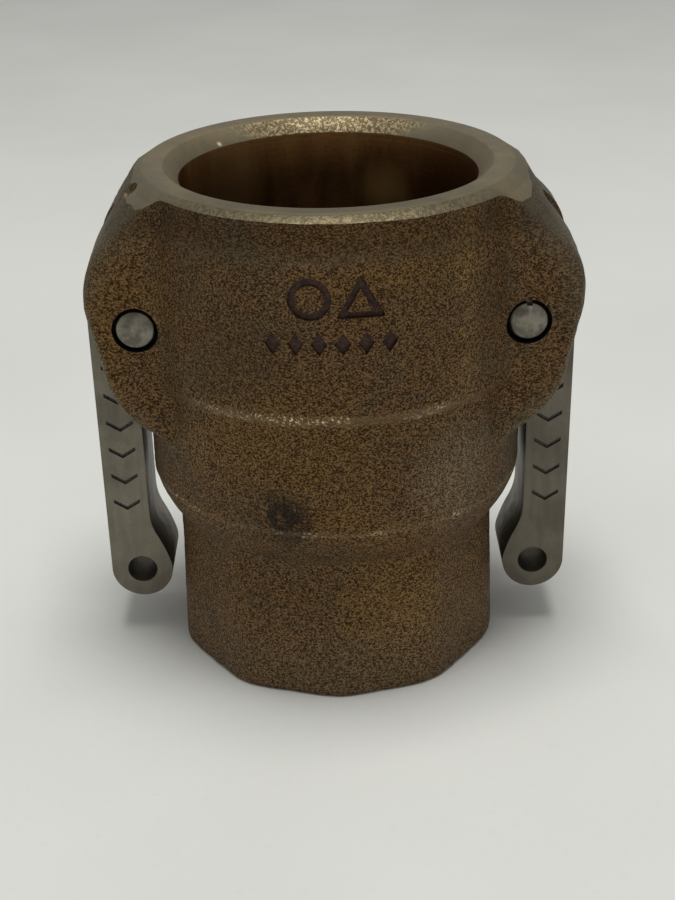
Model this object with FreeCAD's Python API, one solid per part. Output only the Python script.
import FreeCAD, Part
import math
import os

from FreeCAD import Vector

# Cam and groove (camlock) coupler, 1 inch: female socket on top, female pipe thread in the foot.
# Millimetres. Origin at the centre of the foot, +Z up along the socket, +X through one pair of ears.

# Socket and mouth
height = 65.4
socket_r = 18.6            # 37.2 mm bore of a 1 inch coupler
socket_relief_r = 18.9     # below the mouth land, where the cams reach through the wall
mouth_land_z = 57.6
relief_z = 50.0            # from here down the relief is at its full width
lead_in_r = 20.3
lead_in_depth = 1.7
rim_r = 23.0               # outer edge of the flat machined rim
rim_slope = 0.67           # fall of the machined bevel outside the rim, per mm of radius

# Gasket and its undercut
gasket_r = 19.85
gasket_hole_r = 13.5
gasket_thickness = 6.35
undercut_r = 20.0
undercut_z = 28.0
undercut_height = 6.5

# Passage and pipe thread, 1 - 11.5 NPT
passage_r = 13.5
passage_z = 21.0
thread_pitch = 2.2087
thread_taper = 1.0 / 32.0  # change of radius per mm of depth
thread_major_r = 16.6      # at the foot
thread_minor_r = 14.85     # at the foot
thread_depth = 19.0
thread_mouth_r = 17.2
thread_flat = 0.1          # truncation of crest and root

# Outside of the casting
boss_corners = ((0.0, 22.35), (33.5, 22.4), (69.0, 22.0))   # azimuth from the front in degrees, radius
boss_corner_turn = 3.6     # half the angle that a worn corner takes up
boss_draft = 0.02          # share by which the boss narrows towards the shoulder
boss_edge = 0.6            # bevel round the foot
shoulder_r = 20.8          # where the shoulder springs from inside the boss
bowl_r_low = 24.45
bowl_r_high = 25.5
neck_r = 24.3

# Ears
ear_half_width = 14.0
ear_centre = (16.0, 48.0)
ear_flare = 1.03           # outline at the parting plane against the outline of the side faces
ear_edge_r = 1.2
slot_half_width = 5.0
slot_top = 61.6
slot_floor_x = 22.2        # the bowl wall behind the arm, above the window

# Pivot
pivot_x = 23.7
pivot_z = 48.55
pin_r = 2.38               # 3/16 inch
pin_half_length = 13.8
pin_chamfer = 0.35
pin_recess_r = 2.83
pin_recess_depth = 1.6

# Cam arms
arm_half_width = 4.75
arm_hole_r = 2.45
cam_r = 7.0                # eccentric head
cam_offset = 1.6           # its centre from the pivot, inwards and down
window_r = 9.75            # cutter clearance around the pivot
arm_outer_x = 30.9
arm_inner_x = 25.2
tip_x = 26.75
tip_z = 9.75
tip_r = 4.15
ring_hole_r = 2.0


def flat(u, v):
    """A point of a revolved profile or of an outline seen from the front."""
    return Vector(u, 0, v)


def arc_from(here, heading, end):
    """The arc that leaves here along heading (an angle in degrees) and ends at end, and its last heading."""
    chord = math.atan2(end[1] - here[1], end[0] - here[0])
    turn = (chord - math.radians(heading) + math.pi) % (2 * math.pi) - math.pi
    half = math.dist(here, end) / 2
    rise = half * math.tan(turn / 2)
    side = chord - math.pi / 2
    middle = ((here[0] + end[0]) / 2 + rise * math.cos(side), (here[1] + end[1]) / 2 + rise * math.sin(side))
    arc = Part.Arc(flat(*here), flat(*middle), flat(*end)).toShape()
    return arc, math.degrees(chord + turn)


def closed_wire(start, steps):
    """A closed outline. A step is (end,) for a line, (middle, end) for an arc, or a bare string "smooth"
    before an end for an arc that carries on from the last line or arc without a corner."""
    edges = []
    here = start
    heading = 0.0
    for step in steps:
        end = step[-1]
        if step[0] == "smooth":
            edge, heading = arc_from(here, heading, end)
        elif len(step) == 1:
            edge = Part.makeLine(flat(*here), flat(*end))
            heading = math.degrees(math.atan2(end[1] - here[1], end[0] - here[0]))
        else:
            edge = Part.Arc(flat(*here), flat(*step[0]), flat(*end)).toShape()
            last = edge.tangentAt(edge.LastParameter)
            heading = math.degrees(math.atan2(last.z, last.x))
        edges.append(edge)
        here = end
    return Part.Wire(edges)


def turned(start, steps):
    """The profile turned about Z."""
    face = Part.Face(closed_wire(start, steps))
    return face.revolve(Vector(0, 0, 0), Vector(0, 0, 1), 360)


def thick_plate(start, steps, half_width):
    """The outline as a plate centred on the XZ plane."""
    face = Part.Face(closed_wire(start, steps))
    face.translate(Vector(0, -half_width, 0))
    return face.extrude(Vector(0, 2 * half_width, 0))


def cylinder_y(radius, x, z, y_from, y_to):
    return Part.makeCylinder(radius, y_to - y_from, Vector(x, y_from, z), Vector(0, 1, 0))


def cylinder_z(radius, z_from, z_to):
    return Part.makeCylinder(radius, z_to - z_from, Vector(0, 0, z_from))


def block(low, high):
    size = [b - a for a, b in zip(low, high)]
    return Part.makeBox(size[0], size[1], size[2], Vector(*low))


def mirrored(shape):
    """The same shape on the other side: half a turn about Z."""
    copy = shape.copy()
    copy.rotate(Vector(0, 0, 0), Vector(0, 0, 1), 180)
    return copy


def casting_outside():
    """Shoulder, lower and upper bowl and neck."""
    over = height + 1
    return turned((0, 18.6), [
        ((shoulder_r, 18.6),),
        ((shoulder_r + 1.55, 20.7),),
        ((bowl_r_low - 0.85, 22.6), (bowl_r_low, 25.5)),
        ((bowl_r_low, 39.6),),
        ((bowl_r_low + 0.35, 40.6), (bowl_r_high - 0.1, 41.1)),
        ((bowl_r_high, 41.4),),
        ((bowl_r_high, 57.8),),
        ((bowl_r_high - 0.2, 59.5), (bowl_r_high - 0.75, 61.1)),
        ((neck_r, 62.4),),
        ((neck_r, over),),
        ((0, over),),
        ((0, 18.6),),
    ])


def boss_outline(z, scale):
    """The boss seen from above: ten flats between worn corners."""
    quarter = list(boss_corners)
    half = quarter + [(180 - azimuth, radius) for azimuth, radius in reversed(quarter)]
    corners = half + [(360 - azimuth, radius) for azimuth, radius in reversed(half[1:-1])]
    edges = []
    for i, (azimuth, radius) in enumerate(corners):
        next_azimuth, next_radius = corners[(i + 1) % len(corners)]
        left = around(azimuth - boss_corner_turn, radius)
        right = around(azimuth + boss_corner_turn, radius)
        edges.append(Part.Arc(left, around(azimuth, radius), right).toShape())
        edges.append(Part.makeLine(right, around(next_azimuth - boss_corner_turn, next_radius)))
    wire = Part.Wire(edges)
    wire.scale(scale)
    wire.translate(Vector(0, 0, z))
    return wire


def around(azimuth, radius):
    """A point on a circle about Z, by its angle in degrees from the front (-Y) towards +X."""
    angle = math.radians(azimuth)
    return Vector(radius * math.sin(angle), -radius * math.cos(angle), 0)


def boss():
    """The ten-sided pipe end, up into the shoulder."""
    foot = boss_outline(0, 1 - boss_edge / boss_corners[0][1])
    edge = boss_outline(boss_edge, 1.0)
    top = boss_outline(20.0, 1 - boss_draft)
    return Part.makeLoft([foot, edge, top], True, True)


def ear_outline(side_y, flare):
    """Outline of the ears in the plane y = side_y, flared about a point near the pivot by the given factor."""
    wire = closed_wire((12.0, 66.4), [
        ((20.6, 66.4),),
        ((24.3, 63.3),),
        ("smooth", (28.2, 58.4)),
        ("smooth", (29.9, 49.5)),
        ("smooth", (28.2, 42.0)),
        ("smooth", (22.7, 34.1)),
        ((12.0, 23.4),),
        ((12.0, 66.4),),
    ])
    wire.scale(flare, flat(*ear_centre))
    wire.translate(Vector(0, side_y, 0))
    return wire


def ear_pair_blank():
    """One pair of ears before the slot: drafted from the parting plane to each side, outer edges rounded."""
    front = ear_outline(-ear_half_width, 1.0)
    middle = ear_outline(0, ear_flare)
    back = ear_outline(ear_half_width, 1.0)
    blank = Part.makeLoft([front, middle, back], True, True)
    return blank.makeFillet(ear_edge_r, [e for e in blank.Edges if on_ear_rim(e)])


def on_ear_rim(edge):
    """True for the smooth outer edge of either ear face."""
    box = edge.BoundBox
    beside = box.YLength < 0.01 and abs(abs(box.YMin) - ear_half_width) < 0.01
    return beside and box.XMax > 20.7


def machined_top():
    """Everything under the faced rim and the bevel turned outside it."""
    reach = 20.0
    return turned((0, height), [
        ((rim_r, height),),
        ((rim_r + reach, height - rim_slope * reach),),
        ((rim_r + reach, -1),),
        ((0, -1),),
        ((0, height),),
    ])


def arm_slot():
    """Between one pair of ears: open outwards and downwards, with a window through the bowl wall."""
    slot = block((slot_floor_x, -slot_half_width, 24), (40, slot_half_width, slot_top))
    low = cylinder_z(bowl_r_low, 20, 39.4)
    window = cylinder_y(window_r, pivot_x, pivot_z, -slot_half_width, slot_half_width)
    return slot.cut(low).fuse(window)


def pin_holes():
    """The hole through one pair of ears, with a shallow recess at each outer face."""
    hole = cylinder_y(pin_r, pivot_x, pivot_z, -20, 20)
    inner = ear_half_width - pin_recess_depth
    front = cylinder_y(pin_recess_r, pivot_x, pivot_z, -20, -inner)
    back = cylinder_y(pin_recess_r, pivot_x, pivot_z, inner, 20)
    return hole.fuse(front).fuse(back)


def thread_steps():
    """Profile of the pipe thread from the countersink inwards: one ring of the true form for each turn."""
    steps = []
    z = thread_mouth_r - thread_minor_r
    flank = (thread_pitch - 2 * thread_flat) / 2
    while z + thread_pitch < thread_depth:
        crest_r = thread_minor_r - thread_taper * z
        root_r = thread_major_r - thread_taper * (z + thread_pitch / 2)
        steps.append(((crest_r, z),))
        steps.append(((crest_r, z + thread_flat),))
        steps.append(((root_r, z + thread_flat + flank),))
        steps.append(((root_r, z + 2 * thread_flat + flank),))
        z += thread_pitch
    return steps + [((thread_minor_r - thread_taper * z, z),)]


def bore_space():
    """Thread, passage, gasket undercut, relieved socket, mouth land and lead-in, as one turned space."""
    thread_end_r = thread_minor_r - thread_taper * thread_depth
    undercut_top = undercut_z + undercut_height
    return turned((0, -1), [
        ((thread_mouth_r, -1),),
        ((thread_mouth_r, 0),),
    ] + thread_steps() + [
        ((thread_end_r, passage_z),),
        ((passage_r, passage_z + thread_end_r - passage_r),),
        ((passage_r, undercut_z),),
        ((undercut_r, undercut_z),),
        ((undercut_r, undercut_top),),
        ((socket_relief_r, undercut_top),),
        ((socket_relief_r, relief_z),),
        ((socket_r, mouth_land_z),),
        ((socket_r, height - lead_in_depth),),
        ((lead_in_r, height),),
        ((lead_in_r, height + 1),),
        ((0, height + 1),),
        ((0, -1),),
    ])


def coupler_body():
    ears = ear_pair_blank()
    body = casting_outside().fuse([boss(), ears, mirrored(ears)]).common(machined_top())
    slot = arm_slot()
    holes = pin_holes()
    return body.cut([bore_space(), slot, mirrored(slot), holes, mirrored(holes)])


def gasket():
    seat = undercut_z + 0.02
    ring = turned((gasket_hole_r, seat), [
        ((gasket_r, seat),),
        ((gasket_r, seat + gasket_thickness),),
        ((gasket_hole_r, seat + gasket_thickness),),
        ((gasket_hole_r, seat),),
    ])
    return ring.makeFillet(0.4, ring.Edges)


def cam_arm():
    """The right-hand arm hanging closed: eccentric head, straight shank, flared tip with a ring hole."""
    shank = thick_plate((arm_inner_x, 43.0), [
        ((arm_inner_x, 18.5),),
        ((24.9, 16.2), (24.0, 14.3)),
        ((23.1, 12.6), (22.8, 10.7)),
        ((tip_x - 2.6, tip_z - 3.2), (tip_x, tip_z - tip_r)),
        ((tip_x + 2.95, tip_z - 2.92), (arm_outer_x, tip_z + 0.3)),
        ((arm_outer_x, 46.0),),
        ((29.4, 50.9), (25.2, 53.1)),
        ((22.0, 50.0),),
        ((arm_inner_x, 43.0),),
    ], arm_half_width)
    cam = cylinder_y(cam_r, pivot_x - cam_offset, pivot_z - cam_offset,
                     -arm_half_width, arm_half_width)
    arm = shank.fuse(cam).removeSplitter()
    arm = arm.cut(cylinder_y(arm_hole_r, pivot_x, pivot_z, -20, 20))
    return arm.cut(cylinder_y(ring_hole_r, tip_x, tip_z, -20, 20))


def pivot_pin():
    pin = cylinder_y(pin_r, pivot_x, pivot_z, -pin_half_length, pin_half_length)
    ends = [e for e in pin.Edges if e.BoundBox.YLength < 0.01]
    return pin.makeChamfer(pin_chamfer, ends)


def main():
    arm = cam_arm()
    pin = pivot_pin()
    pieces = {
        "coupler_body": coupler_body(),
        "gasket": gasket(),
        "cam_arm_right": arm,
        "cam_arm_left": mirrored(arm),
        "pivot_pin_right": pin,
        "pivot_pin_left": mirrored(pin),
    }
    os.makedirs("parts", exist_ok=True)
    for name, shape in pieces.items():
        print(name, shape.ShapeType, len(shape.Solids), shape.isValid(), round(shape.Volume, 1))
        shape.exportStep("parts/" + name + ".step")


main()
